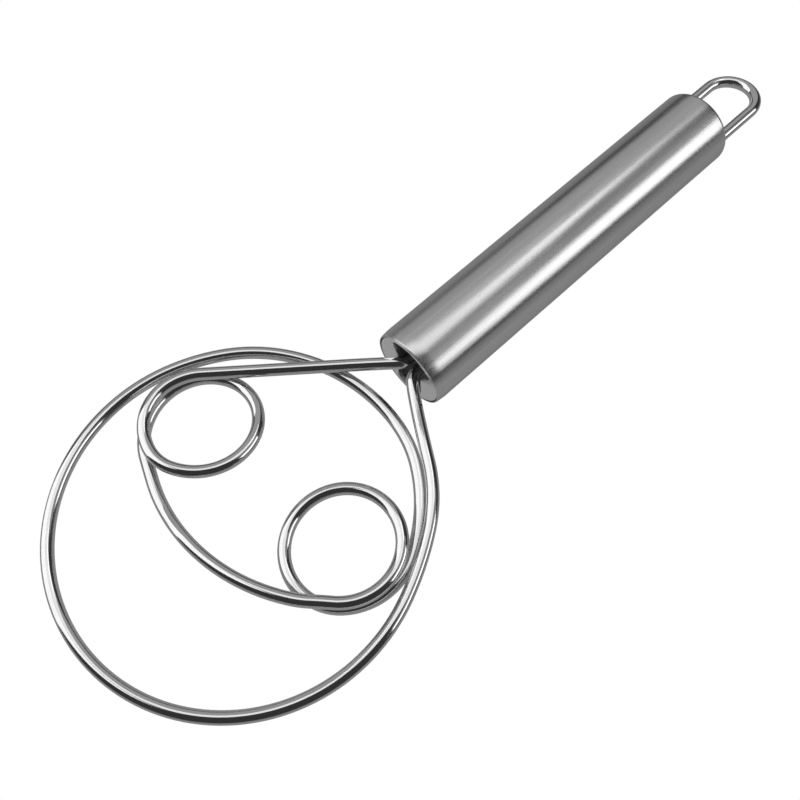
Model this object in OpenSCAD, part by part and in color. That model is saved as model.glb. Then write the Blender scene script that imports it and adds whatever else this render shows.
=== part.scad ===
// Dough whisk: a bent wire ring with two small double loops, held in a hollow steel handle.
// Lying flat: +X runs along the handle towards the hanging loop, +Z is up, the handle's belly is at z = 0.
// Everything is set out from the centre of the handle's mouth, then moved to the middle of its footprint.

/* [Wire] */
// Diameter of the whisk wire
wire_d = 3.2; // [2.6:0.1:3.5]
// Free space kept between two strands that lie side by side or cross
strand_gap = 0.6; // [0.5:0.05:0.8]

/* [Ring] */
// Radius of the big ring, on the wire's centre line
ring_r = 43.7; // [40:0.1:50]
// Distance from the handle's mouth to the nearest point of the ring's circle
ring_ahead = 12.6; // [12:0.1:18]
// Sideways shift of the ring from the handle's axis
ring_side = -1; // [-1.5:0.1:0.5]
// How much wider the end bend past the mouth is than the ring, about the same centre
end_bend_more = 1.6; // [1.2:0.1:2]

/* [Small loops] */
// Radius of the far loop, the one that the last straight run leaves
far_loop_r = 14.5; // [13.5:0.1:15]
// Direction from the ring's centre to the far loop
far_loop_angle = 71.5; // [69.5:0.5:73]
// Extra space between the far loop and the ring
far_loop_inset = 1.7; // [1.5:0.1:2.2]
// Radius of the near loop, the one that the end bend runs into
near_loop_r = 12.8; // [12:0.1:13.4]
// Direction from the ring's centre to the near loop
near_loop_angle = -59.5; // [-62:0.5:-57]
// Extra space between the near loop and the ring
near_loop_inset = 1.4; // [1.2:0.1:2]
// How much wider the inner bend between the loops is than the ring
inner_bend_more = 6.2; // [5.5:0.1:7]
// Distance from the ring's centre to the centre of the inner bend
inner_bend_shift = 38.5; // [38:0.1:39.5]

/* [Handle] */
// Outer diameter of the handle tube
tube_d = 22; // [20:0.5:26]
// Length of the handle tube
tube_l = 113; // [90:1:140]
// Wall of the handle tube
tube_wall = 0.8; // [0.6:0.1:1.2]
// Radius of the rounded front edge
front_round = 0.7; // [0.2:0.1:1]
// Radius of the rounded tail edge
tail_round = 1.3; // [1:0.1:2]

/* [Caps] */
// Thickness of the front cap's sheet
front_cap_t = 1; // [0.8:0.1:1.5]
// How far the front cap sits inside the mouth
front_cap_set = 0.2; // [0.2:0.1:1.2]
// Space between the slot's long edges and the wires that pass through it
slot_gap = 0.45; // [0.35:0.05:0.6]
// Depth of the turned-in edges along the slot
slot_flange = 2; // [1.5:0.1:3]
// Thickness of the tail cap
tail_cap_t = 2.5; // [2:0.1:4]
// Thickness of the turned-in edges
flange_t = 0.8; // [0.6:0.1:1.2]
// Width of the front cap's rim at the two ends of the slot
cap_rim_w = 1.1; // [0.8:0.1:1.6]
// Clearance of the caps and the plug in the tube
cap_gap = 0.05; // [0.05:0.01:0.1]

/* [Wire plug] */
// Distance from the mouth to the plug that holds the wire ends
plug_set = 5.2; // [5:0.1:8]
// Length of that plug
plug_l = 12; // [8:0.5:16]
// Clearance of a wire in its hole
hole_gap = 0.05; // [0.05:0.01:0.1]
// Height of the weld beads round the wires
bead_h = 1; // [0.8:0.1:1.4]

/* [Hanging loop] */
// Diameter of the hanging loop's wire
eye_wire_d = 3.2; // [2.6:0.1:3.5]
// Space between the outer leg of the hanging loop and the tube's wall
eye_leg_space = 0.85; // [0.7:0.05:2]
// Reach of the hanging loop past the tail, to its centre line
eye_l = 22.4; // [18:0.2:30]
// Length of each leg inside the handle
eye_leg_in = 6; // [5:0.5:8]
// Sideways shift of the hanging loop from the handle's axis
eye_side = -0.4; // [-0.8:0.1:0.8]
// Turn of the hanging loop's plane about the handle's axis, against the ring's plane
eye_tilt = -7; // [-12:1:12]

/* [Hidden] */

$fn = 96;
// Largest turn between two rings of points along a bent wire, and the sides of its skin
ring_step = 8;
wire_sides = 12;
// How far a cut reaches past what it cuts
past = 1;
// The tube's skin starts at this turn about its axis, away from the line that it lies on
seam_angle = 60;
tube_r = tube_d / 2;
bore_r = tube_r - tube_wall;
cap_r = bore_r - cap_gap;

// Strands that cross lie one pitch apart, half of it above and half below the ring's plane
pitch = wire_d + strand_gap;
lift = pitch / 2;
// The strand from the mouth to the ring rides a little high, clear of the end bend beneath it
side_lift = 0.8;
side_nest = sqrt(pitch * pitch - (lift + side_lift) * (lift + side_lift));

// Where the wire ends lie inside the handle: the first strand's on the right, the last one's on the left
root_y = lift + 0.05;
root_bend_x = front_cap_set + 1;
root_in_x = plug_set - 0.4;
root_end_x = plug_set + plug_l + 1;
// The slot's long edges lie beside the two strands, which still bend a little where they pass them
slot_half = root_y + wire_d / 2 + slot_gap;

// Centres of the ring, the bends and the loops
ring_c = [-(ring_r + ring_ahead), ring_side];
end_r = ring_r + end_bend_more;
inner_r = ring_r + inner_bend_more;
inner_c = ring_c + [inner_bend_shift, 5.2];
far_base = ring_c + (ring_r - pitch - far_loop_inset - far_loop_r) * dir(far_loop_angle);
near_base = ring_c + (ring_r - pitch - near_loop_inset - near_loop_r) * dir(near_loop_angle);
// In one turn each loop's centre drifts this far and its radius grows by this much
far_drift = [2.5, 5.9];
far_widen = 0.3;
near_drift = [1.5, 1.9];
near_widen = 2;
// The far loop's last quarter is a tighter bend, from which the last straight run leaves
exit_c = far_base + [0.8, 3.4];
exit_r = far_loop_r - 2.2;
exit_ease = 0.4;

// Where the two strands leave the mouth
mouth_b = [-4, -6.5];
mouth_a = [-3.8, 4.9];
// The first strand's place beside the end bend: so far outside the ring, in this direction, at this heading
side_b_out = 3.74;
side_b_turn = -25.3;
side_b_angle = -121;
// Where the last straight run starts to come down, past the end bend
dip_run = ring_ahead - 3.6;

// Half the hanging loop's width, where its legs end and where its round end begins
eye_half = bore_r - eye_leg_space - eye_wire_d / 2 - abs(eye_side);
eye_from = tube_l - eye_leg_in;
eye_turn_x = tube_l + eye_l - eye_half;

// Weld beads: one behind each wire end, and a collar round each leg of the hanging loop
weld_r = min(1.4, lift - 0.05);
tail_bead_r = eye_wire_d / 2 + eye_leg_space - cap_gap;
tail_bead_x = tube_l - tail_cap_t - 0.05;

// Middle of the footprint, from the mouth's centre
low_x = ring_c[0] - ring_r - wire_d / 2;
high_x = tube_l + eye_l + eye_wire_d / 2;
mid_x = (low_x + high_x) / 2;
mid_y = ring_side;

function unit(v) = v / norm(v);
function dir(a) = [cos(a), sin(a)];
function smooth(u) = let(v = min(1, max(0, u))) 3 * v * v - 2 * v * v * v;
function smooth_rate(u) = u > 0 && u < 1 ? 6 * u - 6 * u * u : 0;

// A key is a point and the heading there: on a circle run clockwise, or at a place with a heading
function circle_key(c, r, a, z, rise = 0, drift = [0, 0]) =
    [[c[0] + r * cos(a), c[1] + r * sin(a), z],
     unit([sin(a), -cos(a), rise] + [drift[0], drift[1], 0] / (2 * PI * r))];
function free_key(p, z, a, rise = 0) = [[p[0], p[1], z], unit([cos(a), sin(a), rise])];

// One small double loop: it enters low, climbs one pitch between the turns low_to and high_from, leaves high
function loop_keys(base, start_r, drift, widen, first, steps, step, low_to, high_from) =
    [for (i = [0 : steps])
        let(turned = i * step,
            r = start_r + widen * turned / 360,
            u = (turned - low_to) / (high_from - low_to),
            rise = pitch * smooth_rate(u) / ((high_from - low_to) * PI / 180 * r))
        circle_key(base + drift * turned / 360, r, first - turned,
                   pitch * smooth(u) - lift, rise, drift + widen * dir(first - turned))];

// The first strand's way from the mouth to the ring bends evenly
side_b = ring_c + (ring_r + side_b_out) * dir(side_b_turn);
side_way = side_b - mouth_b;
mouth_b_angle = 2 * atan2(side_way[1], side_way[0]) - side_b_angle;

// The last straight run, from its place beside the far loop to the mouth
far_way = exit_c - mouth_a;
far_open = asin((exit_r + exit_ease) / norm(far_way));
far_run_angle = atan2(far_way[1], far_way[0]) - far_open;
far_run = norm(far_way) * cos(far_open) - 10;
function last_run(away, z, rise = 0) =
    free_key(mouth_a + away * dir(far_run_angle), z, far_run_angle + 180, rise);

// The wire's whole run, from one end inside the handle round to the other
wire_keys = concat(
    [free_key([root_end_x, -root_y], 0, 180),
     free_key([root_bend_x, -root_y], 0, 180),
     free_key(mouth_b, 0, mouth_b_angle, 0.02),
     free_key(side_b, side_lift, side_b_angle),
     circle_key(ring_c, ring_r, -68, side_lift)],
    [for (a = [-112, -180, -270, -285]) circle_key(ring_c, ring_r, a, 0)],
    [for (a = [37, 7, -6]) circle_key(ring_c, end_r, a, -lift)],
    [free_key(side_b + side_nest * dir(side_b_angle - 90) + [0, 0.5], -lift, side_b_angle)],
    loop_keys(near_base, near_loop_r, near_drift, near_widen, -130, 8, 46, 70, 280),
    [circle_key(inner_c, inner_r, -146, lift * 0.86, -0.03),
     circle_key(inner_c, inner_r, -180, -lift * 0.1, -0.065),
     circle_key(inner_c, inner_r, -192, -lift * 0.97, -0.02)],
    loop_keys(far_base, far_loop_r, far_drift, far_widen, 157, 7, 44, 110, 308),
    [for (a = [137, 99, 81]) circle_key(exit_c, exit_r, a, lift)],
    [last_run(far_run, lift),
     last_run(dip_run, lift),
     last_run(0, lift * 0.9, -0.03),
     free_key([root_bend_x, root_y], lift * 0.6, 0, -0.3),
     free_key([root_in_x, root_y], 0, 0),
     free_key([root_end_x, root_y], 0, 0)]);

// Two arcs that join one key to the next without a kink: [start, heading, end] for each arc
function two_arcs(a, b) =
    let(v = b[0] - a[0],
        t = a[1] + b[1],
        k = 2 * (1 - a[1] * b[1]),
        vt = v * t,
        d = abs(k) < 0.0000001 ? (v * v) / (2 * vt) : (sqrt(vt * vt + k * (v * v)) - vt) / k,
        q0 = a[0] + d * a[1],
        q1 = b[0] - d * b[1],
        j = (q0 + q1) / 2)
    [[a[0], a[1], j], [j, unit(q1 - q0), b[0]]];

// Points along one arc, from its start up to but not including its end, as [point, heading]
function arc_rings(arc) =
    let(way = arc[2] - arc[0],
        half = acos(min(1, (arc[1] * way) / norm(way))),
        flat = half < 0.05,
        bend_r = flat ? 0 : norm(way) / (2 * sin(half)),
        inward = flat ? [0, 0, 0] : unit(way - arc[1] * (arc[1] * way)),
        n = flat ? 1 : ceil(2 * half / ring_step))
    [for (i = [0 : n - 1])
        let(a = 2 * half * i / n)
        flat ? [arc[0], unit(way)]
             : [arc[0] + bend_r * (sin(a) * arc[1] + (1 - cos(a)) * inward),
                cos(a) * arc[1] + sin(a) * inward]];

// Rings along the whole run of keys, as [centre, heading]
function run_rings(keys) = concat(
    [for (i = [0 : len(keys) - 2]) each [for (arc = two_arcs(keys[i], keys[i + 1])) each arc_rings(arc)]],
    [keys[len(keys) - 1]]);

// Length of the run up to each ring
function run_lengths(rings) =
    [for (i = 0, run = 0;
          i < len(rings);
          run = run + (i + 1 < len(rings) ? norm(rings[i + 1][0] - rings[i][0]) : 0), i = i + 1)
        run];

// Least distance from a point to the straight piece from a to b
function reach(p, a, b) =
    let(way = b - a, u = min(1, max(0, (p - a) * way / (way * way))))
    norm(p - a - u * way);

// Least gap between two stretches of the wire that lie further apart along the run than near_run
function least_gap(rings, r, near_run) =
    let(run = run_lengths(rings), n = len(rings))
    min([for (i = [0 : n - 1]) for (k = [i + 1 : n - 2])
            if (run[k] - run[i] > near_run) reach(rings[i][0], rings[k][0], rings[k + 1][0])]) - 2 * r;

// A round bar of one unbroken skin: rings of points square to the run, joined side to side
module bar_along(rings, r, sides) {
    n = len(rings);
    points = [for (ring = rings)
                 let(side = unit(cross(ring[1], [0, 0, 1])), up = cross(side, ring[1]))
                 for (k = [0 : sides - 1])
                     ring[0] + r * (cos(k * 360 / sides) * side + sin(k * 360 / sides) * up)];
    skin = [for (i = [0 : n - 2]) for (k = [0 : sides - 1])
               let(a = i * sides + k, b = i * sides + (k + 1) % sides)
               each [[a, b, b + sides], [a, b + sides, a + sides]]];
    first = [for (k = [sides - 1 : -1 : 0]) k];
    last = [for (k = [0 : sides - 1]) (n - 1) * sides + k];
    polyhedron(points = points, faces = concat([first], skin, [last]));
}

// Moves the mouth's centre to its place in the part
module in_place() {
    translate([-mid_x, -mid_y, tube_r]) children();
}

// Moves what goes with the hanging loop to its side of the handle and turns it
module eye_in_place() {
    in_place() translate([0, eye_side, 0]) rotate([eye_tilt, 0, 0]) children();
}

// A rod along X from one distance to another
module rod_x(r, from, to) {
    translate([from, 0, 0]) rotate([0, 90, 0]) cylinder(r = r, h = to - from);
}

module whisk_wire() {
    rings = run_rings(wire_keys);
    echo(least_wire_gap = least_gap(rings, wire_d / 2, 3 * wire_d));
    color("lightgray") in_place() bar_along(rings, wire_d / 2, wire_sides);
}

// What a rounded edge takes off a square corner, with the corner at the origin
module corner_cut(r) {
    difference() {
        translate([-r, -past]) square([r + past, r + past]);
        translate([-r, r]) circle(r = r);
    }
}

// Half outline of the tube, radius to the right and length upwards, turned about the handle's axis
module tube_outline() {
    difference() {
        translate([bore_r, 0]) square([tube_wall, tube_l]);
        translate([tube_r, 0]) corner_cut(front_round);
        translate([tube_r, tube_l]) mirror([0, 1]) corner_cut(tail_round);
    }
}

module handle_tube() {
    color("silver") in_place() rotate([seam_angle, 0, 0]) rotate([0, 90, 0]) rotate_extrude() tube_outline();
}

// A disc with a slot across it; the slot's long edges are turned in, and a thin rim joins its two halves
module front_cap() {
    deep = front_cap_set + slot_flange;
    color("gainsboro") in_place() difference() {
        union() {
            rod_x(cap_r, front_cap_set, front_cap_set + front_cap_t);
            intersection() {
                rod_x(cap_r - cap_rim_w, front_cap_set, deep);
                for (y = [-slot_half - flange_t, slot_half])
                    translate([front_cap_set, y, -tube_r]) cube([slot_flange, flange_t, 2 * tube_r]);
            }
        }
        intersection() {
            rod_x(cap_r - cap_rim_w, front_cap_set - past, deep + past);
            translate([-past, -slot_half, -tube_r]) cube([deep + 2 * past, 2 * slot_half, 2 * tube_r]);
        }
    }
}

module wire_plug() {
    color("dimgray") in_place() difference() {
        rod_x(cap_r, plug_set, plug_set + plug_l);
        for (s = [-1, 1]) translate([0, s * root_y, 0])
            rod_x(wire_d / 2 + hole_gap, plug_set - past, plug_set + plug_l + past);
    }
}

// Beads behind the plug, round the two ends of the whisk wire
module front_welds() {
    color("darkgray") in_place() for (s = [-1, 1]) translate([0, s * root_y, 0])
        rod_x(weld_r, root_end_x + hole_gap, root_end_x + hole_gap + bead_h);
}

module tail_cap() {
    color("silver") difference() {
        in_place() rod_x(cap_r, tube_l - tail_cap_t, tube_l);
        for (s = [-1, 1]) eye_in_place() translate([0, s * eye_half, 0])
            rod_x(eye_wire_d / 2 + hole_gap, tube_l - tail_cap_t - past, tube_l + past);
    }
}

// The hanging loop: two straight legs and a round end, with the legs' ends inside the handle
module hanging_loop() {
    color("lightgray") eye_in_place() {
        for (s = [-1, 1]) translate([0, s * eye_half, 0]) rod_x(eye_wire_d / 2, eye_from, eye_turn_x);
        translate([eye_turn_x, 0, 0]) rotate([0, 0, -90])
            rotate_extrude(angle = 180) translate([eye_half, 0]) circle(r = eye_wire_d / 2);
    }
}

// Collars inside the tail cap, round the two legs of the hanging loop
module tail_welds() {
    color("darkgray") for (s = [-1, 1]) eye_in_place() translate([0, s * eye_half, 0]) difference() {
        rod_x(tail_bead_r, tail_bead_x - bead_h, tail_bead_x);
        rod_x(eye_wire_d / 2 + hole_gap, tail_bead_x - bead_h - past, tail_bead_x + past);
    }
}

whisk_wire();
handle_tube();
front_cap();
wire_plug();
front_welds();
tail_cap();
hanging_loop();
tail_welds();
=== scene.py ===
"""Looks of the dough whisk: a bent wire ring with two small double loops in a hollow steel handle.

All lengths are in metres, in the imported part's own frame: +X along the handle towards the hanging loop,
+Z up, the handle's belly at z = 0. Each sub-assembly holds its sizes in millimetres, set out from the
centre of the handle's mouth, and its pieces are moved to their place in the frame as they are made.
"""
import logging
import math
from dataclasses import dataclass, field
from enum import Enum
from typing import Callable, Sequence

import bmesh
import bpy
from mathutils import Matrix, Quaternion, Vector, noise


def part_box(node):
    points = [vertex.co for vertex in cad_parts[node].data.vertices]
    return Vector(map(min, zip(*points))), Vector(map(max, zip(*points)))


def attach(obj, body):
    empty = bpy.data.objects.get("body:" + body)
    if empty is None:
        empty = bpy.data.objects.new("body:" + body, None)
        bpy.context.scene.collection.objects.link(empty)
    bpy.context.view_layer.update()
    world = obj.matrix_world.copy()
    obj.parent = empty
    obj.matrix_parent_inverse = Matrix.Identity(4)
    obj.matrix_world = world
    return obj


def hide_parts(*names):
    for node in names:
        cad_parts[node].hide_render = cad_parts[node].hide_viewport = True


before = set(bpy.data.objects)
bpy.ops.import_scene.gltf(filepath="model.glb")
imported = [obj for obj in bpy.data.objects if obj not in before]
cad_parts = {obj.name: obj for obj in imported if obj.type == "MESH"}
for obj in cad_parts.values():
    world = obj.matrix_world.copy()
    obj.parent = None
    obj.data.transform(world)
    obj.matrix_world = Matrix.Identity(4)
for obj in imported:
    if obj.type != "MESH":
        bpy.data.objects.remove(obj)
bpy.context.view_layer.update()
MM = 0.001
ROOT = "root"
log = logging.getLogger("dough_whisk")

Key = tuple[Vector, Vector]
Ring = tuple[Vector, Vector]
Outline = list[tuple[float, float]]


class Slot(Enum):
    """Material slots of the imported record."""

    WIRE = "bright_wire"
    TUBE = "brushed_tube"
    CAP = "satin_cap"
    PLUG = "dull_plug"
    WELD = "weld"


def direction(angle: float) -> Vector:
    """Returns the unit vector in the ring's plane at an angle in degrees."""
    return Vector((math.cos(math.radians(angle)), math.sin(math.radians(angle)), 0.0))


def heading(angle: float, rise: float = 0.0) -> Vector:
    """Returns the unit heading at an angle in degrees, with an upward slope."""
    return (direction(angle) + Vector((0, 0, rise))).normalized()


def smooth(u: float) -> float:
    """Returns a smooth step from 0 to 1."""
    v = min(1.0, max(0.0, u))
    return 3 * v * v - 2 * v**3


def smooth_rate(u: float) -> float:
    """Returns the slope of the smooth step."""
    return 6 * u - 6 * u * u if 0 < u < 1 else 0.0


def two_arcs(a: Key, b: Key) -> list[tuple[Vector, Vector, Vector]]:
    """Joins one key to the next with two arcs and no kink.

    Args:
        a: The point and heading where the arcs start.
        b: The point and heading where they end.

    Returns:
        Each arc as its start, its heading there and its end.
    """
    v = b[0] - a[0]
    k = 2 * (1 - a[1].dot(b[1]))
    vt = v.dot(a[1] + b[1])
    d = v.dot(v) / (2 * vt) if abs(k) < 1e-7 else (math.sqrt(vt * vt + k * v.dot(v)) - vt) / k
    q0 = a[0] + d * a[1]
    q1 = b[0] - d * b[1]
    j = (q0 + q1) / 2
    return [(a[0], a[1], j), (j, (q1 - q0).normalized(), b[0])]


def arc_rings(arc: tuple[Vector, Vector, Vector], step: float, reach: float) -> list[Ring]:
    """Samples one arc, from its start up to but not including its end.

    Args:
        arc: The arc's start, heading and end.
        step: Largest turn between two samples, in degrees.
        reach: Largest distance between two samples.

    Returns:
        The points with their headings.
    """
    start, way_in, end = arc
    way = end - start
    half = math.acos(min(1.0, way_in.dot(way) / way.length))
    if half < math.radians(0.05):
        n = max(1, math.ceil(way.length / reach))
        return [(start + way * i / n, way.normalized()) for i in range(n)]
    bend_r = way.length / (2 * math.sin(half))
    inward = (way - way_in * way_in.dot(way)).normalized()
    n = max(math.ceil(math.degrees(2 * half) / step), math.ceil(way.length / reach))
    turns = [2 * half * i / n for i in range(n)]
    return [(start + bend_r * (math.sin(a) * way_in + (1 - math.cos(a)) * inward),
             math.cos(a) * way_in + math.sin(a) * inward) for a in turns]


@dataclass(frozen=True)
class WireRoute:
    """The whisk wire's centre line, with the part's own driving sizes, in millimetres."""

    wire_d: float = 3.2
    strand_gap: float = 0.6
    ring_r: float = 43.7
    ring_ahead: float = 12.6
    ring_side: float = -1.0
    end_bend_more: float = 1.6
    far_loop_r: float = 14.5
    far_loop_angle: float = 71.5
    far_loop_inset: float = 1.7
    near_loop_r: float = 12.8
    near_loop_angle: float = -59.5
    near_loop_inset: float = 1.4
    inner_bend_more: float = 6.2
    inner_bend_shift: float = 38.5
    inner_bend_side: float = 5.2
    front_cap_set: float = 0.2
    plug_set: float = 5.2
    plug_l: float = 12.0
    side_lift: float = 0.8
    mouth_b: tuple[float, float] = (-4.0, -6.5)
    mouth_a: tuple[float, float] = (-3.8, 4.9)
    side_b_out: float = 3.74
    side_b_turn: float = -25.3
    side_b_angle: float = -121.0
    far_drift: tuple[float, float] = (2.5, 5.9)
    far_widen: float = 0.3
    near_drift: tuple[float, float] = (1.5, 1.9)
    near_widen: float = 2.0
    exit_shift: tuple[float, float] = (0.8, 3.4)
    exit_less: float = 2.2
    exit_ease: float = 0.4

    def pitch(self) -> float:
        """Returns the distance between the centres of two strands that lie together."""
        return self.wire_d + self.strand_gap

    def lift(self) -> float:
        """Returns how far a crossing strand lies above or below the ring's plane."""
        return self.pitch() / 2

    def circle_key(self, c: Vector, r: float, a: float, z: float, rise: float = 0.0,
                   drift: Vector = Vector((0, 0, 0))) -> Key:
        """Makes a key on a circle that is run clockwise.

        Args:
            c: Centre of the circle.
            r: Its radius.
            a: Angle of the key, in degrees.
            z: Height of the key.
            rise: Upward slope there.
            drift: How far the point moves besides, in one turn.

        Returns:
            The key's point and heading.
        """
        point = c + r * direction(a)
        point.z = z
        way = Vector((math.sin(math.radians(a)), -math.cos(math.radians(a)), rise))
        return point, (way + drift / (2 * math.pi * r)).normalized()

    def loop_keys(self, base: Vector, start_r: float, drift: Vector, widen: float, first: float, steps: int,
                  step: float, low_to: float, high_from: float) -> list[Key]:
        """Makes the keys of one small double loop, which enters low and leaves high.

        Args:
            base: Centre of the loop where it starts.
            start_r: Radius of the loop where it starts.
            drift: How far its centre moves in one turn.
            widen: How much its radius grows in one turn.
            first: Angle of the first key.
            steps: Number of steps from the first key to the last.
            step: Angle between two keys.
            low_to: Turn up to which the loop stays low.
            high_from: Turn from which it stays high.

        Returns:
            The loop's keys.
        """
        keys = []
        for turned in (i * step for i in range(steps + 1)):
            r = start_r + widen * turned / 360
            u = (turned - low_to) / (high_from - low_to)
            rise = self.pitch() * smooth_rate(u) / (math.radians(high_from - low_to) * r)
            z = self.pitch() * smooth(u) - self.lift()
            keys.append(self.circle_key(base + drift * turned / 360, r, first - turned, z, rise,
                                        drift + widen * direction(first - turned)))
        return keys

    def loop_base(self, radius: float, inset: float, angle: float) -> Vector:
        """Returns the centre of a small loop that lies inside the ring, towards an angle."""
        return self.ring_centre() + (self.ring_r - self.pitch() - inset - radius) * direction(angle)

    def ring_centre(self) -> Vector:
        """Returns the centre of the big ring."""
        return Vector((-(self.ring_r + self.ring_ahead), self.ring_side, 0))

    def keys(self) -> list[Key]:
        """Returns the keys of the whole run, from one end inside the handle to the other."""
        lift, pitch = self.lift(), self.pitch()
        root_y, bend_x = lift + 0.05, self.front_cap_set + 1
        in_x, root_x = self.plug_set - 0.4, self.plug_set + self.plug_l + 1
        ring_c = self.ring_centre()
        end_r = self.ring_r + self.end_bend_more
        inner_c = ring_c + Vector((self.inner_bend_shift, self.inner_bend_side, 0))
        inner_r = self.ring_r + self.inner_bend_more
        far_base = self.loop_base(self.far_loop_r, self.far_loop_inset, self.far_loop_angle)
        near_base = self.loop_base(self.near_loop_r, self.near_loop_inset, self.near_loop_angle)
        exit_c, exit_r = far_base + Vector((*self.exit_shift, 0)), self.far_loop_r - self.exit_less
        side_nest = math.sqrt(pitch**2 - (lift + self.side_lift) ** 2)
        mouth_b, mouth_a = Vector((*self.mouth_b, 0)), Vector((*self.mouth_a, 0))
        side_b = ring_c + (self.ring_r + self.side_b_out) * direction(self.side_b_turn)
        side_way = side_b - mouth_b
        mouth_b_angle = 2 * math.degrees(math.atan2(side_way.y, side_way.x)) - self.side_b_angle
        side_in = side_b + side_nest * direction(self.side_b_angle - 90) + Vector((0, 0.5, -lift))
        far_way = exit_c - mouth_a
        far_open = math.asin((exit_r + self.exit_ease) / far_way.length)
        far_angle = math.degrees(math.atan2(far_way.y, far_way.x) - far_open)
        far_run = far_way.length * math.cos(far_open) - 10

        def last_run(away: float, z: float, rise: float = 0.0) -> Key:
            """Returns a key on the last straight run, at a distance from the mouth."""
            return mouth_a + away * direction(far_angle) + Vector((0, 0, z)), heading(far_angle + 180, rise)

        run: list[Key] = [
            (Vector((root_x, -root_y, 0)), heading(180)),
            (Vector((bend_x, -root_y, 0)), heading(180)),
            (mouth_b, heading(mouth_b_angle, 0.02)),
            (side_b + Vector((0, 0, self.side_lift)), heading(self.side_b_angle)),
            self.circle_key(ring_c, self.ring_r, -68, self.side_lift)]
        run += [self.circle_key(ring_c, self.ring_r, a, 0) for a in (-112, -180, -270, -285)]
        run += [self.circle_key(ring_c, end_r, a, -lift) for a in (37, 7, -6)]
        run.append((side_in, heading(self.side_b_angle)))
        run += self.loop_keys(near_base, self.near_loop_r, Vector((*self.near_drift, 0)), self.near_widen,
                              -130, 8, 46, 70, 280)
        run += [self.circle_key(inner_c, inner_r, a, lift * z, rise)
                for a, z, rise in ((-146, 0.86, -0.03), (-180, -0.1, -0.065), (-192, -0.97, -0.02))]
        run += self.loop_keys(far_base, self.far_loop_r, Vector((*self.far_drift, 0)), self.far_widen,
                              157, 7, 44, 110, 308)
        run += [self.circle_key(exit_c, exit_r, a, lift) for a in (137, 99, 81)]
        run += [last_run(far_run, lift), last_run(self.ring_ahead - 3.6, lift),
                last_run(0, lift * 0.9, -0.03), (Vector((bend_x, root_y, lift * 0.6)), heading(0, -0.3)),
                (Vector((in_x, root_y, 0)), heading(0)), (Vector((root_x, root_y, 0)), heading(0))]
        return run

    def rings(self, step: float, reach: float) -> list[Ring]:
        """Samples the whole run.

        Args:
            step: Largest turn between two samples, in degrees.
            reach: Largest distance between two samples.

        Returns:
            The centre line's points with their headings.
        """
        keys = self.keys()
        run = [ring for a, b in zip(keys, keys[1:]) for arc in two_arcs(a, b)
               for ring in arc_rings(arc, step, reach)]
        return run + [keys[-1]]


@dataclass(frozen=True)
class Bench:
    """Where the handle's mouth lies in the frame, and how a piece is made from sizes in millimetres there."""

    mouth: Vector
    crease: float = 35.0
    weld: float = 0.0001

    def piece(self, name: str, points: Sequence[Vector], faces: Sequence[Sequence[int]], slot: Slot,
              node: str) -> bpy.types.Object:
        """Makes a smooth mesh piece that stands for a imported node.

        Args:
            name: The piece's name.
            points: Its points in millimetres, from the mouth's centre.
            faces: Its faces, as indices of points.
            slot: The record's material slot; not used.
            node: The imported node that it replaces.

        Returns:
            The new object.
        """
        mesh = bpy.data.meshes.new(name)
        mesh.from_pydata([tuple(self.mouth + p * MM) for p in points], [], faces)
        shape = bmesh.new()
        shape.from_mesh(mesh)
        bmesh.ops.remove_doubles(shape, verts=shape.verts, dist=self.weld * MM)
        shape.to_mesh(mesh)
        shape.free()
        mesh.polygons.foreach_set("use_smooth", [True] * len(mesh.polygons))
        mesh.set_sharp_from_angle(angle=math.radians(self.crease))
        made = bpy.data.objects.new(name, mesh)
        bpy.context.scene.collection.objects.link(made)
        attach(made, ROOT)
        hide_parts(node)
        log.info("%s: %d points, %d faces", name, len(mesh.vertices), len(mesh.polygons))
        return made


def swept_bar(rings: Sequence[Ring], radius: Callable[[float, float], float],
              sides: int) -> tuple[list[Vector], list[list[int]]]:
    """Sweeps a round bar along a centre line, closed at both ends.

    Args:
        rings: Points of the centre line with their headings.
        radius: Gives the bar's radius for a distance along the run and an angle round it.
        sides: Number of points round the bar.

    Returns:
        The bar's points and faces.
    """
    points: list[Vector] = []
    run = 0.0
    for i, (centre, way) in enumerate(rings):
        run += (centre - rings[i - 1][0]).length if i else 0.0
        side = way.cross(Vector((0, 0, 1))).normalized()
        up = side.cross(way)
        for k in range(sides):
            a = 2 * math.pi * k / sides
            points.append(centre + radius(run, a) * (math.cos(a) * side + math.sin(a) * up))
    n = len(rings)
    starts = [(i * sides, (i + 1) * sides) for i in range(n - 1)]
    faces = [[a + k, b + k, b + (k + 1) % sides, a + (k + 1) % sides]
             for a, b in starts for k in range(sides)]
    faces.append(list(range(sides)))
    faces.append(list(range(n * sides - 1, (n - 1) * sides - 1, -1)))
    return points, faces


def turned_ring(outlines: Sequence[Outline], closed: bool = True) -> tuple[list[Vector], list[list[int]]]:
    """Turns an outline about the handle's axis; the outline may change with the angle.

    Args:
        outlines: For each angle in turn, points as distance along X and radius.
        closed: Whether the outline closes on itself.

    Returns:
        The points and faces.
    """
    sides, m = len(outlines), len(outlines[0])
    points = [Vector((x, r * math.cos(2 * math.pi * k / sides), r * math.sin(2 * math.pi * k / sides)))
              for k, outline in enumerate(outlines) for x, r in outline]
    faces = [[k * m + i, k * m + (i + 1) % m, ((k + 1) % sides) * m + (i + 1) % m, ((k + 1) % sides) * m + i]
             for k in range(sides) for i in range(m if closed else m - 1)]
    return points, faces


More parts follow.
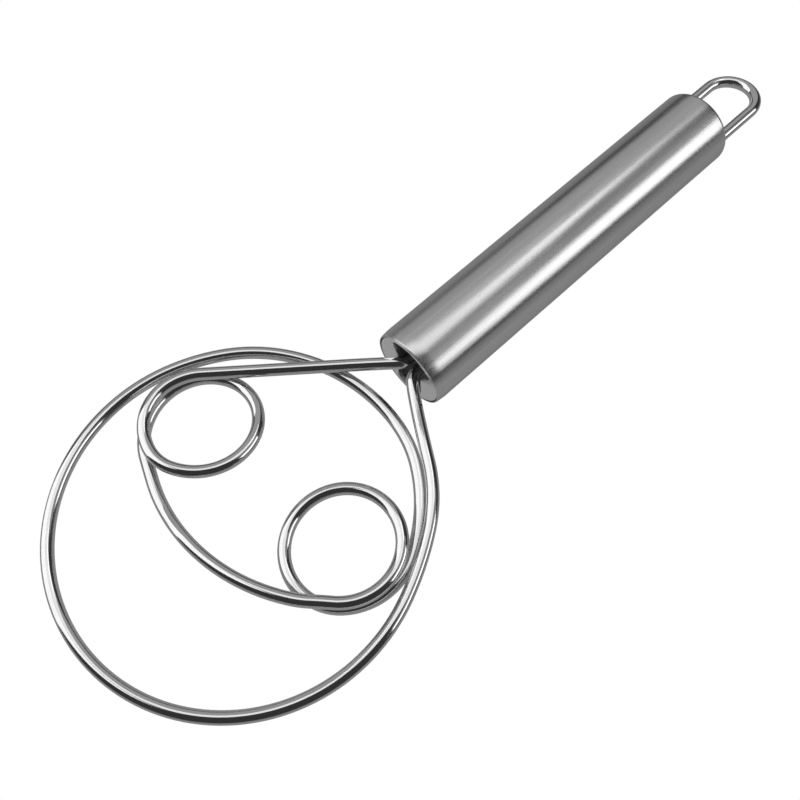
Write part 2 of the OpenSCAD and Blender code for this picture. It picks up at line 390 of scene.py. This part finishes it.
def quarter(cx: float, cr: float, ax: float, ar: float, start: float, steps: int = 6) -> Outline:
    """Draws a quarter of an ellipse in an outline.

    Args:
        cx: Centre along X.
        cr: Centre's radius from the axis.
        ax: Half width along X.
        ar: Half height across.
        start: Angle at which the quarter starts, in degrees; it runs on by 90.
        steps: Number of steps.

    Returns:
        The points, ends included.
    """
    turns = [math.radians(start + 90 * i / steps) for i in range(steps + 1)]
    return [(cx + ax * math.cos(t), cr + ar * math.sin(t)) for t in turns]


class Nodes:
    """A short way to build a node tree: makes nodes, sets their sockets and links them."""

    def __init__(self, tree: bpy.types.NodeTree) -> None:
        """Starts with an empty tree."""
        self.tree = tree
        self.tree.nodes.clear()

    def add(self, kind: str, inputs: dict[str | int, object] | None = None,
            **settings: object) -> bpy.types.Node:
        """Adds a node.

        Args:
            kind: The node's type name.
            inputs: Values or output sockets for its inputs, by name or number.
            settings: Properties of the node itself.

        Returns:
            The node.
        """
        made = self.tree.nodes.new(kind)
        for key, value in settings.items():
            setattr(made, key, value)
        for key, value in (inputs or {}).items():
            if isinstance(value, bpy.types.NodeSocket):
                self.tree.links.new(value, made.inputs[key])
            else:
                made.inputs[key].default_value = value
        return made


def group(name: str, inputs: Sequence[tuple[str, str, object]], outputs: Sequence[tuple[str, str]],
          build: Callable[[Nodes, bpy.types.Node], dict[str, bpy.types.NodeSocket]]) -> bpy.types.NodeTree:
    """Makes a shader node group once and returns it.

    Args:
        name: The group's name.
        inputs: Each input's name, socket type and value.
        outputs: Each output's name and socket type.
        build: Fills the tree and returns the socket behind each output.

    Returns:
        The node group.
    """
    if name in bpy.data.node_groups:
        return bpy.data.node_groups[name]
    tree = bpy.data.node_groups.new(name, "ShaderNodeTree")
    nodes = Nodes(tree)
    for label, kind, value in inputs:
        socket = tree.interface.new_socket(label, in_out="INPUT", socket_type=kind)
        socket.default_value = value
    for label, kind in outputs:
        tree.interface.new_socket(label, in_out="OUTPUT", socket_type=kind)
    entry = nodes.add("NodeGroupInput")
    made = build(nodes, entry)
    nodes.add("NodeGroupOutput", dict(made))
    return tree


def grain_group() -> bpy.types.NodeTree:
    """Returns the group that draws fine brushed lines: a height and a roughness mask."""

    def build(n: Nodes, entry: bpy.types.Node) -> dict[str, bpy.types.NodeSocket]:
        """Fills the group's tree."""
        place = n.add("ShaderNodeTexCoord").outputs["Object"]
        long = n.add("ShaderNodeVectorMath", {0: place, 1: entry.outputs["Stretch"]}, operation="MULTIPLY")
        fine = n.add("ShaderNodeTexNoise", {"Vector": long.outputs[0], "Scale": entry.outputs["Fine"],
                                            "Detail": 3.0, "Roughness": 0.65})
        broad = n.add("ShaderNodeTexNoise", {"Vector": long.outputs[0], "Scale": entry.outputs["Broad"],
                                             "Detail": 2.0, "Roughness": 0.5})
        speck = n.add("ShaderNodeTexNoise", {"Vector": place, "Scale": entry.outputs["Speck"], "Detail": 2.0,
                                             "Roughness": 0.6})
        both = n.add("ShaderNodeMath", {0: fine.outputs["Fac"], 1: broad.outputs["Fac"]}, operation="ADD")
        half = n.add("ShaderNodeMath", {0: both.outputs[0], 1: 0.5}, operation="MULTIPLY")
        height = n.add("ShaderNodeMix", {"Factor": entry.outputs["Speck Share"], 2: fine.outputs["Fac"],
                                         3: speck.outputs["Fac"]}, data_type="FLOAT")
        return {"Height": height.outputs[0], "Mask": half.outputs[0]}

    return group("brushed_grain",
                 [("Stretch", "NodeSocketVector", (1, 1, 1)), ("Fine", "NodeSocketFloat", 100.0),
                  ("Broad", "NodeSocketFloat", 20.0), ("Speck", "NodeSocketFloat", 1000.0),
                  ("Speck Share", "NodeSocketFloat", 0.0)],
                 [("Height", "NodeSocketFloat"), ("Mask", "NodeSocketFloat")], build)


def wear_group() -> bpy.types.NodeTree:
    """Returns the group that scatters small nicks and specks over a surface."""

    def build(n: Nodes, entry: bpy.types.Node) -> dict[str, bpy.types.NodeSocket]:
        """Fills the group's tree."""
        place = n.add("ShaderNodeTexCoord").outputs["Object"]
        long = n.add("ShaderNodeVectorMath", {0: place, 1: entry.outputs["Stretch"]}, operation="MULTIPLY")
        cells = n.add("ShaderNodeTexVoronoi", {"Vector": long.outputs[0], "Scale": entry.outputs["Density"]})
        speck = n.add("ShaderNodeMapRange", {"Value": cells.outputs["Distance"], "From Min": 0.0,
                                             "From Max": entry.outputs["Size"], "To Min": 1.0, "To Max": 0.0})
        patch = n.add("ShaderNodeTexNoise", {"Vector": place, "Scale": 90.0, "Detail": 2.0})
        some = n.add("ShaderNodeMapRange", {"Value": patch.outputs["Fac"], "From Min": 0.5, "From Max": 0.62})
        both = n.add("ShaderNodeMath", {0: speck.outputs[0], 1: some.outputs[0]}, operation="MULTIPLY")
        return {"Mask": both.outputs[0]}

    return group("small_wear",
                 [("Stretch", "NodeSocketVector", (1, 1, 1)), ("Density", "NodeSocketFloat", 300.0),
                  ("Size", "NodeSocketFloat", 0.12)],
                 [("Mask", "NodeSocketFloat")], build)


@dataclass(frozen=True)
class SteelFinish:
    """A steel surface: its shade, polish, grain and wear; on the caps the shade also holds painted light, and
    on the tube the edge tint holds painted shade.
    """

    name: str
    shade: float
    shade_spread: float
    rough: float
    rough_spread: float
    grain: tuple[float, float, float]
    fine: float
    broad: float
    bump: float
    bump_depth: float
    anisotropy: float = 0.0
    speck: float = 1000.0
    speck_share: float = 0.0
    wear_density: float = 300.0
    wear_size: float = 0.1
    wear_dark: float = 0.0
    warm: float = 0.0
    # Edge tints the reflection at grazing angles; below 1 it is painted shade there.
    edge: float = 1.0

    def material(self) -> bpy.types.Material:
        """Returns the finish as a material, made once."""
        if self.name in bpy.data.materials:
            return bpy.data.materials[self.name]
        made = bpy.data.materials.new(self.name)
        made.use_nodes = True
        n = Nodes(made.node_tree)
        lines = n.add("ShaderNodeGroup", node_tree=grain_group())
        lines.inputs["Stretch"].default_value = self.grain
        lines.inputs["Fine"].default_value = self.fine
        lines.inputs["Broad"].default_value = self.broad
        lines.inputs["Speck"].default_value = self.speck
        lines.inputs["Speck Share"].default_value = self.speck_share
        wear = n.add("ShaderNodeGroup", node_tree=wear_group())
        wear.inputs["Stretch"].default_value = tuple(math.sqrt(g) for g in self.grain)
        wear.inputs["Density"].default_value = self.wear_density
        wear.inputs["Size"].default_value = self.wear_size
        low, high = self.shade - self.shade_spread, self.shade + self.shade_spread
        tone = n.add("ShaderNodeMapRange", {"Value": lines.outputs["Mask"], "From Min": 0.3, "From Max": 0.7,
                                            "To Min": low, "To Max": high})
        dull = n.add("ShaderNodeMath", {0: wear.outputs["Mask"], 1: self.wear_dark}, operation="MULTIPLY")
        worn = n.add("ShaderNodeMath", {0: tone.outputs[0], 1: dull.outputs[0]}, operation="SUBTRACT")
        color = n.add("ShaderNodeCombineColor", {"Red": worn.outputs[0], "Green": worn.outputs[0],
                                                 "Blue": worn.outputs[0]})
        tint = n.add("ShaderNodeMix", {"Factor": 1.0}, data_type="RGBA", blend_type="MULTIPLY")
        made.node_tree.links.new(color.outputs[0], tint.inputs[6])
        tint.inputs[7].default_value = (1.0, 1.0 - self.warm / 2, 1.0 - self.warm, 1)
        rough = n.add("ShaderNodeMapRange", {"Value": lines.outputs["Mask"], "From Min": 0.3, "From Max": 0.7,
                                             "To Min": self.rough - self.rough_spread,
                                             "To Max": self.rough + self.rough_spread})
        bump = n.add("ShaderNodeBump", {"Strength": self.bump, "Distance": self.bump_depth,
                                        "Height": lines.outputs["Height"]})
        metal = n.add("ShaderNodeBsdfPrincipled", {"Base Color": tint.outputs[2], "Metallic": 1.0,
                                                   "Roughness": rough.outputs[0],
                                                   "Anisotropic": self.anisotropy,
                                                   # The edge value dims the grazing reflection: painted shade
                                                   # when below 1.
                                                   "Specular Tint": (self.edge, self.edge, self.edge, 1),
                                                   "Normal": bump.outputs[0]})
        n.add("ShaderNodeOutputMaterial", {"Surface": metal.outputs[0]})
        return made

    def dress(self, piece: bpy.types.Object) -> None:
        """Puts the finish on a piece."""
        piece.data.materials.clear()
        piece.data.materials.append(self.material())


WIRE_FINISH = SteelFinish("bright_wire_steel", shade=0.72, shade_spread=0.03, rough=0.1, rough_spread=0.03,
                          grain=(1, 1, 1), fine=900, broad=120, bump=0.08, bump_depth=0.00002,
                          wear_density=500, wear_size=0.12, wear_dark=0.2)
# The tube's edge of 0.75 is painted shade: it dims the grazing reflections down the tube's sides, standing in
# for the shaded floor close under the handle that they mirror.
TUBE_FINISH_AND_SHADE = SteelFinish("brushed_tube_steel_and_shade", shade=0.72, shade_spread=0.06, rough=0.27, rough_spread=0.06,
                          grain=(1.0, 60.0, 60.0), fine=60, broad=12, bump=0.25, bump_depth=0.00003,
                          speck=1100, speck_share=0.7, anisotropy=0.3, wear_density=120, wear_size=0.14,
                          wear_dark=0.25, edge=0.75)
# The caps' shade of 0.95 is partly the satin steel's pale tone and partly painted light: it brightens the
# plates' faces for light that they would catch from the floor and lamps beside them.
CAP_FINISH_AND_LIGHT = SteelFinish("satin_cap_steel_and_light", shade=0.95, shade_spread=0.04, rough=0.3, rough_spread=0.06,
                         grain=(1.0, 1.0, 1.0), fine=1500, broad=300, bump=0.2, bump_depth=0.00002,
                         wear_density=400, wear_size=0.16, wear_dark=0.15)
PLUG_FINISH = SteelFinish("dull_plug_steel", shade=0.3, shade_spread=0.06, rough=0.5, rough_spread=0.08,
                          grain=(1.0, 1.0, 1.0), fine=900, broad=200, bump=0.3, bump_depth=0.00004)
WELD_FINISH = SteelFinish("weld_metal", shade=0.36, shade_spread=0.08, rough=0.45, rough_spread=0.1,
                          grain=(1.0, 1.0, 1.0), fine=1200, broad=300, bump=0.5, bump_depth=0.00008,
                          warm=0.08)


@dataclass(frozen=True)
class Whisk:
    """The bent wire: ring, end bend, two double loops and the inner bend, as one smooth round bar."""

    bench: Bench
    route: WireRoute = field(default_factory=WireRoute)
    sides: int = 40
    step: float = 2.5
    reach: float = 2.5
    wave: float = 0.006
    wave_l: float = 6.0

    def radius(self, run: float, angle: float) -> float:
        """Returns the wire's radius, a little oval by turns as hand bending leaves it."""
        turn = noise.noise(Vector((run / self.wave_l, 0.4, 1.7)))
        oval = self.wave * turn * math.cos(2 * angle)
        return self.route.wire_d / 2 * min(1.0, 1.0 - self.wave / 2 + oval)

    def build(self) -> None:
        """Builds the wire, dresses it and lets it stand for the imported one."""
        points, faces = swept_bar(self.route.rings(self.step, self.reach), self.radius, self.sides)
        wire = self.bench.piece("bent_wire", points, faces, Slot.WIRE, "whisk_wire")
        WIRE_FINISH.dress(wire)


@dataclass(frozen=True)
class Tube:
    """The handle's tube: a thin shell whose front edge is spun inwards round the mouth plate."""

    bench: Bench
    radius: float = 10.99
    wall: float = 0.8
    length: float = 113.0
    spun_l: float = 3.5
    spun_in: float = 0.25
    lip: float = 0.35
    groove: float = 0.15
    groove_deep: float = 1.2
    tail_round: float = 1.3
    tail_from: float = 25.0
    sides: int = 192
    stretch: float = 2.0
    dent: float = 0.02

    def outline(self, angle: float) -> Outline:
        """Returns the shell's closed outline at an angle in degrees, slightly uneven along its length."""
        bore = self.radius - self.wall
        tail_x, tail_r = self.length - self.tail_round, self.radius - self.tail_round
        turns = [math.radians(self.tail_from + (90 - self.tail_from) * i / 8) for i in range(9)]
        line = [(tail_x + self.tail_round * math.cos(t), tail_r + self.tail_round * math.sin(t))
                for t in turns]
        steps = round((tail_x - self.spun_l) / self.stretch)
        for i in range(1, steps):
            x = tail_x + (self.spun_l - tail_x) * i / steps
            edge = min(1.0, (tail_x - x) / 8, (x - self.spun_l) / 8)
            place = Vector((x / 14, math.cos(math.radians(angle)), math.sin(math.radians(angle))))
            line.append((x, self.radius - self.dent * edge * (0.5 + noise.noise(place))))
        for i in range(9):
            share = i / 8
            x = self.spun_l + (self.lip - self.spun_l) * share
            line.append((x, self.radius - self.spun_in * share**2))
        line += quarter(self.lip, self.radius - self.spun_in - self.lip, self.lip, self.lip, 90, 6)[1:]
        line.append((0.0, bore + self.groove))
        line += [(self.groove_deep, bore + self.groove), (self.groove_deep + self.groove, bore)]
        line += [(tail_x, bore), (line[0][0], bore)]
        return line

    def build(self) -> None:
        """Builds the tube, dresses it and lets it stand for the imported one."""
        points, faces = turned_ring([self.outline(360 * k / self.sides) for k in range(self.sides)])
        tube = self.bench.piece("steel_tube", points, faces, Slot.TUBE, "handle_tube")
        # The tube's finish holds painted shade at its grazing edges.
        TUBE_FINISH_AND_SHADE.dress(tube)


@dataclass(frozen=True)
class MouthPlate:
    """The pressed plate in the mouth, with a slot whose long edges are rolled inwards."""

    bench: Bench
    radius: float = 10.15
    front: float = 0.0
    sheet: float = 1.0
    slot_left: float = 3.55
    slot_right: float = 4.0
    flare_left: float = 1.75
    flare_right: float = 8.0
    flare_low: float = 0.2
    slot_end: float = 9.05
    flange: float = 2.0
    flange_t: float = 0.8
    corner: float = 10.0
    rim_round: float = 0.45
    edge_round: float = 0.35
    roll: float = 0.5
    sides: int = 192

    def opening(self, angle: float, wider: float) -> tuple[float, float]:
        """Measures the slot at an angle from the line across it.

        Args:
            angle: The angle, in radians.
            wider: How much wider than the slot the line lies.

        Returns:
            The slot's radius there, and how much of that place is a long edge, from 0 to 1.
        """
        left = math.cos(angle) > 0
        side = self.slot_left if left else self.slot_right
        flare = self.flare_low if math.sin(angle) < 0 else self.flare_left if left else self.flare_right
        square = math.cos(angle) ** 2
        far = (side + wider) * square + flare * (1 - square)
        across = (abs(math.cos(angle)) * square / far) ** self.corner
        end = (1 / (self.slot_end + wider)) ** self.corner
        return (across + end) ** (-1 / self.corner), across / (across + end)

    def outline(self, angle: float) -> Outline:
        """Returns the plate's closed outline at an angle in radians."""
        _, long_edge = self.opening(angle, 0)
        bend = self.edge_round + self.roll * long_edge
        deep = self.front + self.sheet + 0.25 + (self.flange - self.sheet - 0.25) * long_edge
        back = self.front + self.sheet
        line = [(back, self.radius)]
        line += [(x, r) for x, r in quarter(self.front + self.rim_round, self.radius - self.rim_round,
                                            self.rim_round, self.rim_round, 90, 4)]
        for i in range(9):
            t = math.pi / 2 * i / 8
            x = self.front + bend * (1 - math.cos(t))
            line.append((x, self.opening(angle, bend * (1 - math.sin(t)))[0]))
        line += [(deep - 0.15, self.opening(angle, 0)[0]), (deep, self.opening(angle, 0.15)[0]),
                 (deep, self.opening(angle, self.flange_t - 0.15)[0]),
                 (deep - 0.15, self.opening(angle, self.flange_t)[0]),
                 (back, self.opening(angle, self.flange_t)[0])]
        return line

    def build(self) -> None:
        """Builds the plate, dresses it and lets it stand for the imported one."""
        points, faces = turned_ring([self.outline(2 * math.pi * k / self.sides) for k in range(self.sides)])
        plate = self.bench.piece("mouth_plate", points, faces, Slot.CAP, "front_cap")
        # The plate's finish holds painted light: a tone raised above the steel's own.
        CAP_FINISH_AND_LIGHT.dress(plate)


@dataclass(frozen=True)
class HangingLoop:
    """The wire loop at the tail, and the plate that its two legs pass through."""

    bench: Bench
    wire_d: float = 3.2
    half: float = 7.35
    reach: float = 22.39
    leg_in: float = 6.0
    tail: float = 113.0
    side: float = -0.4
    tilt: float = -7.0
    plate_r: float = 10.15
    plate_t: float = 2.5
    plate_round: float = 0.4
    collar: float = 0.45
    sides: int = 40

    def place(self, point: Vector) -> Vector:
        """Returns a point of the loop, tilted about the handle's axis and shifted to its side."""
        return Matrix.Rotation(math.radians(self.tilt), 3, "X") @ point + Vector((0, self.side, 0))

    def rings(self) -> list[Ring]:
        """Returns the loop's centre line: a leg, the round end and the other leg."""
        turn_x = self.tail + self.reach - self.half
        start = self.tail - self.leg_in
        legs = [start + (turn_x - start) * i / 6 for i in range(6)]
        bend = [180 * i / 48 for i in range(49)]
        line = [(Vector((x, self.half, 0)), direction(0)) for x in legs]
        line += [(Vector((turn_x, 0, 0)) + self.half * direction(90 - a), direction(-a)) for a in bend]
        line += [(Vector((x, -self.half, 0)), direction(180)) for x in reversed(legs)]
        turn = Matrix.Rotation(math.radians(self.tilt), 3, "X")
        return [(self.place(point), turn @ way) for point, way in line]

    def radius(self, run: float, angle: float) -> float:
        """Returns the wire's radius, with a trace of unevenness."""
        return self.wire_d / 2 * (0.997 + 0.003 * noise.noise(Vector((run / 5, math.cos(angle), 3.1))))

    def plate_mesh(self) -> tuple[list[Vector], list[list[int]]]:
        """Returns the tail plate as a turned disc with a rounded edge."""
        inner = self.tail - self.plate_t
        edge = quarter(self.tail - self.plate_round, self.plate_r - self.plate_round, self.plate_round,
                       self.plate_round, 0, 5)
        line = [(self.tail, 0.0), *edge, (inner, self.plate_r), (inner, 0.0)]
        return turned_ring([line] * 96, closed=False)

    def collar_mesh(self, hand: int) -> tuple[list[Vector], list[list[int]]]:
        """Returns the small fillet where one leg leaves the plate, on the side that hand gives."""
        leg_r = self.wire_d / 2
        curve = [(self.tail + self.collar * (1 - math.sin(t)), leg_r + self.collar * (1 - math.cos(t)))
                 for t in (math.pi / 2 * i / 5 for i in range(6))]
        line = [(self.tail + self.collar, leg_r - 0.1), *curve, (self.tail - 0.2, leg_r + self.collar),
                (self.tail - 0.2, leg_r - 0.1)]
        points, faces = turned_ring([line] * self.sides)
        return [self.place(p + Vector((0, hand * self.half, 0))) for p in points], faces

    def build(self) -> None:
        """Builds loop and plate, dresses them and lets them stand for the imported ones."""
        points, faces = swept_bar(self.rings(), self.radius, self.sides)
        loop = self.bench.piece("hanging_bow", points, faces, Slot.WIRE, "hanging_loop")
        WIRE_FINISH.dress(loop)
        points, faces = self.plate_mesh()
        for hand in (-1, 1):
            more, more_faces = self.collar_mesh(hand)
            faces += [[len(points) + i for i in face] for face in more_faces]
            points += more
        plate = self.bench.piece("tail_plate", points, faces, Slot.CAP, "tail_cap")
        # The tail plate shares the caps' finish, with its painted light: a tone raised above the steel's own.
        CAP_FINISH_AND_LIGHT.dress(plate)


def dress_inner_parts() -> None:
    """Gives the plug and the weld beads inside the handle their finish."""
    looks = {"wire_plug": PLUG_FINISH, "front_welds": WELD_FINISH, "tail_welds": WELD_FINISH}
    for node, finish in looks.items():
        finish.dress(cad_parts[node])
        log.info("%s: %s", node, finish.name)


@dataclass(frozen=True)
class SoftBox:
    """A large even light, placed by the direction that it is seen in from the whisk."""

    name: str
    azimuth: float
    elevation: float
    half_wide: float
    half_high: float
    glow: float
    roll: float = 0.0
    away: float = 2.5

    def build(self) -> None:
        """Hangs the light; its power follows from its size and how bright its face is."""
        turn, rise = math.radians(self.azimuth), math.radians(self.elevation)
        way = Vector((math.cos(rise) * math.cos(turn), math.cos(rise) * math.sin(turn), math.sin(rise)))
        lamp = bpy.data.lights.new(self.name, "AREA")
        lamp.shape = "RECTANGLE"
        lamp.size = 2 * self.away * math.tan(math.radians(self.half_wide))
        lamp.size_y = 2 * self.away * math.tan(math.radians(self.half_high))
        lamp.energy = math.pi * lamp.size * lamp.size_y * self.glow
        piece = bpy.data.objects.new(self.name, lamp)
        piece.location = way * self.away
        facing = (-way).to_track_quat("-Z", "Y") @ Quaternion((0, 0, 1), -math.radians(self.roll))
        piece.rotation_euler = facing.to_euler()
        piece.visible_camera = False
        bpy.context.scene.collection.objects.link(piece)


@dataclass(frozen=True)
class Studio:
    """A plain white floor, soft lights and the camera at the photograph's viewing angle."""

    camera_at: tuple[float, float, float] = (-0.08907, -0.07223, 0.21839)
    lens: float = 41.36
    floor_size: float = 5.0
    floor_seen: float = 1.0
    floor_near: float = 0.31
    floor_far: float = 0.18
    floor_bend: float = 0.62
    room: float = 0.05

    def floor(self) -> None:
        """Lays the floor under the handle: pure white to look at, light grey where the steel mirrors it."""
        half = self.floor_size / 2
        corners = [(x * half, y * half, 0) for x, y in ((-1, -1), (1, -1), (1, 1), (-1, 1))]
        mesh = bpy.data.meshes.new("floor")
        mesh.from_pydata(corners, [], [[0, 1, 2, 3]])
        piece = bpy.data.objects.new("floor", mesh)
        bpy.context.scene.collection.objects.link(piece)
        made = bpy.data.materials.new("pale_floor")
        made.use_nodes = True
        n = Nodes(made.node_tree)
        steep = n.add("ShaderNodeLayerWeight", {"Blend": 0.5})
        dim = n.add("ShaderNodeMapRange", {"Value": steep.outputs["Facing"], "From Min": self.floor_bend,
                                           "To Min": self.floor_near, "To Max": self.floor_far})
        ray = n.add("ShaderNodeLightPath")
        level = n.add("ShaderNodeMix", {"Factor": ray.outputs["Is Camera Ray"], 2: dim.outputs[0],
                                        3: self.floor_seen}, data_type="FLOAT")
        glow = n.add("ShaderNodeEmission", {"Strength": level.outputs[0]})
        n.add("ShaderNodeOutputMaterial", {"Surface": glow.outputs[0]})
        mesh.materials.append(made)

    def camera(self) -> None:
        """Sets the camera up."""
        eye = bpy.data.cameras.new("camera")
        eye.lens = self.lens
        eye.sensor_width = 36.0
        eye.clip_start = 0.01
        piece = bpy.data.objects.new("camera", eye)
        piece.matrix_world = Matrix.Translation(Vector(self.camera_at)) @ CAMERA_TURN.to_4x4()
        bpy.context.scene.collection.objects.link(piece)
        bpy.context.scene.camera = piece

    def world(self) -> None:
        """Makes the room dark for the steel to mirror, and white behind the set."""
        room = bpy.data.worlds.new("room")
        bpy.context.scene.world = room
        room.use_nodes = True
        n = Nodes(room.node_tree)
        ray = n.add("ShaderNodeLightPath")
        level = n.add("ShaderNodeMix", {"Factor": ray.outputs["Is Camera Ray"], 2: self.room,
                                        3: self.floor_seen}, data_type="FLOAT")
        glow = n.add("ShaderNodeBackground", {"Strength": level.outputs[0]})
        n.add("ShaderNodeOutputWorld", {"Surface": glow.outputs[0]})

    def build(self) -> None:
        """Sets up the whole studio."""
        self.floor()
        self.world()
        self.camera()
        for box in SOFT_BOXES:
            box.build()
        bpy.context.scene.view_settings.view_transform = "Standard"
        log.info("studio ready")


SOFT_BOXES = (SoftBox("key_box", 129, 29, 21, 41, 1.28, -7),
              SoftBox("side_box", -53, 24.5, 18, 12.5, 1.68, 11),
              SoftBox("top_box", 38, 75, 20, 14, 1.05, -9), SoftBox("small_box", 6, 58, 8, 6, 0.85, 40),
              SoftBox("pale_wall", 57, 36, 40, 23, 0.34, 13), SoftBox("dim_wall", -40, 49, 17, 12, 0.27))
CAMERA_TURN = Matrix(((0.728046, 0.624824, -0.282034), (-0.685527, 0.662749, -0.301361),
                      (-0.001380, 0.412747, 0.910846)))


def main() -> None:
    """Builds the whisk and its studio in order."""
    logging.basicConfig(level=logging.INFO, format="%(name)s %(message)s")
    low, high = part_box("handle_tube")
    bench = Bench(Vector((low[0], (low[1] + high[1]) / 2, (low[2] + high[2]) / 2)))
    Whisk(bench).build()
    Tube(bench).build()
    MouthPlate(bench).build()
    HangingLoop(bench).build()
    dress_inner_parts()
    Studio().build()


if __name__ == "__main__":
    main()
